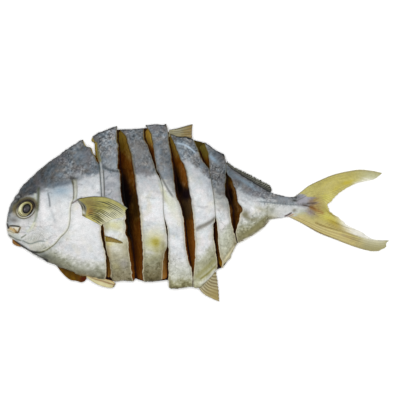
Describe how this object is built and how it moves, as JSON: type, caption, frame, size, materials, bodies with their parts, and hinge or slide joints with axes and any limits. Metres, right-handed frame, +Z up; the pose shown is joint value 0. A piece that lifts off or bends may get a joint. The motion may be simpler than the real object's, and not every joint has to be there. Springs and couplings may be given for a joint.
{
  "type": "dried pomfret",
  "caption": "Whole dried pomfret lying flat, cut open by deep gashes across its upper side, with its fins and forked tail, as prepared food.",
  "frame": {"origin": "on the surface that the fish lies on, under the middle of its box", "axes": "+X from the snout to the tail, +Y from the belly to the back, +Z up through the fish, out of its gashed left side"},
  "size_m": [0.32, 0.1484, 0.0282],
  "materials": {
    "skin": "dried silvery fish skin, darker on the back",
    "flesh": "dried brown flesh in the walls and floors of the gashes",
    "fin": "dried yellow-brown fins with pale rays",
    "eye": "dried cloudy eye with a dark pupil"
  },
  "bodies": {
    "root": {"pomfret": "skin"}
  },
  "joints": []
}
